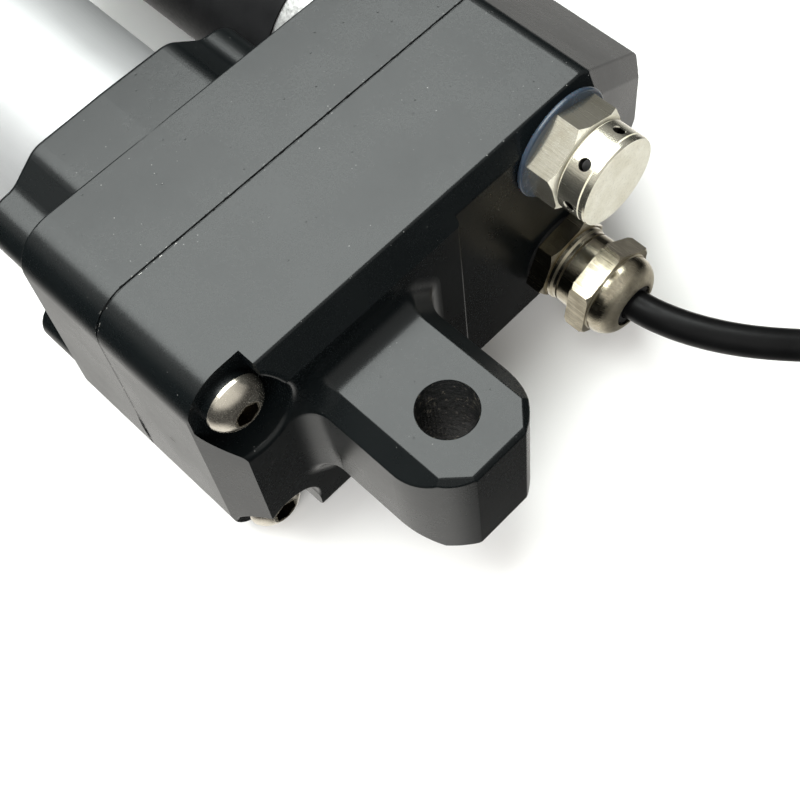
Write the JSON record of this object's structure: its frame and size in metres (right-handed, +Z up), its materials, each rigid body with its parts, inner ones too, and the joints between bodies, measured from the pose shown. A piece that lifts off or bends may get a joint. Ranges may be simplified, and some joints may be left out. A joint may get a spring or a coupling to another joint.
{
  "type": "linear actuator",
  "caption": "Sealed electric linear actuator: cast gearbox with a pivot lug, motor beside a round tube, push rod with an eye, vent plug, cable gland and tied cable.",
  "frame": {"origin": "centre of the rear lug's pivot hole, at the middle of the lug's thickness", "axes": "+X along the stroke from the rear pivot to the front eye, -Y towards the motor, +Z up along both pivot holes; the part lies on its flat underside"},
  "size_m": [0.38, 0.1582, 0.052],
  "materials": {
    "casting": "satin black coating on a die casting",
    "stainless": "bright stainless",
    "gasket": "matte",
    "tube": "silver anodised",
    "motor_black": "satin black",
    "motor_plate": "grained cast",
    "nickel": "nickel plated",
    "washer": "translucent blue grey",
    "black_rubber": "matte",
    "cable": "satin",
    "tie": "satin",
    "steel": "ground",
    "rod": "polished",
    "bronze": "turned",
    "gear_plastic": "natural",
    "winding": "enamelled wire",
    "magnet": "matte",
    "board": "matte",
    "switch": "matte",
    "membrane": "matte",
    "core_insulation": "satin"
  },
  "bodies": {
    "housing": {"brush_holder": "switch", "cable": "cable", "cable_coil": "cable", "cable_end": "cable", "cable_tie": "tie", "core_ferrules": "stainless", "front_bearing": "steel", "front_cap": "casting", "front_cap_screws": "stainless", "front_housing": "casting", "gland_body": "nickel", "gland_dome_nut": "nickel", "gland_insert": "black_rubber", "gland_seal_ring": "black_rubber", "guide_bush": "gear_plastic", "housing_gasket": "gasket", "housing_screws": "stainless", "idler_shaft": "steel", "lead_core_black": "tie", "lead_core_red": "core_insulation", "limit_board": "board", "limit_switches": "switch", "motor_brushes": "magnet", "motor_bushes": "bronze", "motor_can": "motor_black", "motor_end_plate": "motor_plate", "motor_magnets": "magnet", "motor_screws": "stainless", "motor_seal_ring": "black_rubber", "motor_side_screw": "stainless", "outer_tube": "tube", "rear_bearing": "steel", "rear_housing": "casting", "rod_wiper": "black_rubber", "tube_seal_ring": "black_rubber", "vent_body": "nickel", "vent_cap": "nickel", "vent_membrane": "membrane", "vent_washer": "washer"},
    "rod": {"push_rod": "rod", "rod_end": "stainless", "rod_end_pin": "steel", "drive_nut": "bronze"},
    "screw": {"lead_screw": "steel", "screw_gear": "steel", "screw_collar": "steel"},
    "idler": {"idler_gear": "steel"},
    "rotor": {"motor_shaft": "steel", "armature_core": "steel", "armature_windings": "winding", "commutator": "bronze", "motor_pinion": "steel"}
  },
  "joints": [
    {"name": "rod_slide", "type": "slide", "parent": "housing", "child": "rod", "axis": [1, 0, 0], "range_m": [0, 0.1]},
    {"name": "screw_spin", "type": "hinge", "parent": "housing", "child": "screw", "pos_m": [0.045, 0, 0], "axis": [-1, 0, 0], "range_deg": [-0.5, 6000.5]},
    {"name": "idler_spin", "type": "hinge", "parent": "housing", "child": "idler", "pos_m": [0.045, -0.0252, 0], "axis": [-1, 0, 0], "range_deg": [-15000.5, 0.5]},
    {"name": "motor_spin", "type": "hinge", "parent": "housing", "child": "rotor", "pos_m": [0.06, -0.0486, 0], "axis": [-1, 0, 0], "range_deg": [-0.5, 40714.79]}
  ],
  "couplings": [
    {"joint": "screw_spin", "follows": "rod_slide", "rad_per_m": 1047.2},
    {"joint": "idler_spin", "follows": "rod_slide", "rad_per_m": -2618},
    {"joint": "motor_spin", "follows": "rod_slide", "rad_per_m": 7106}
  ]
}
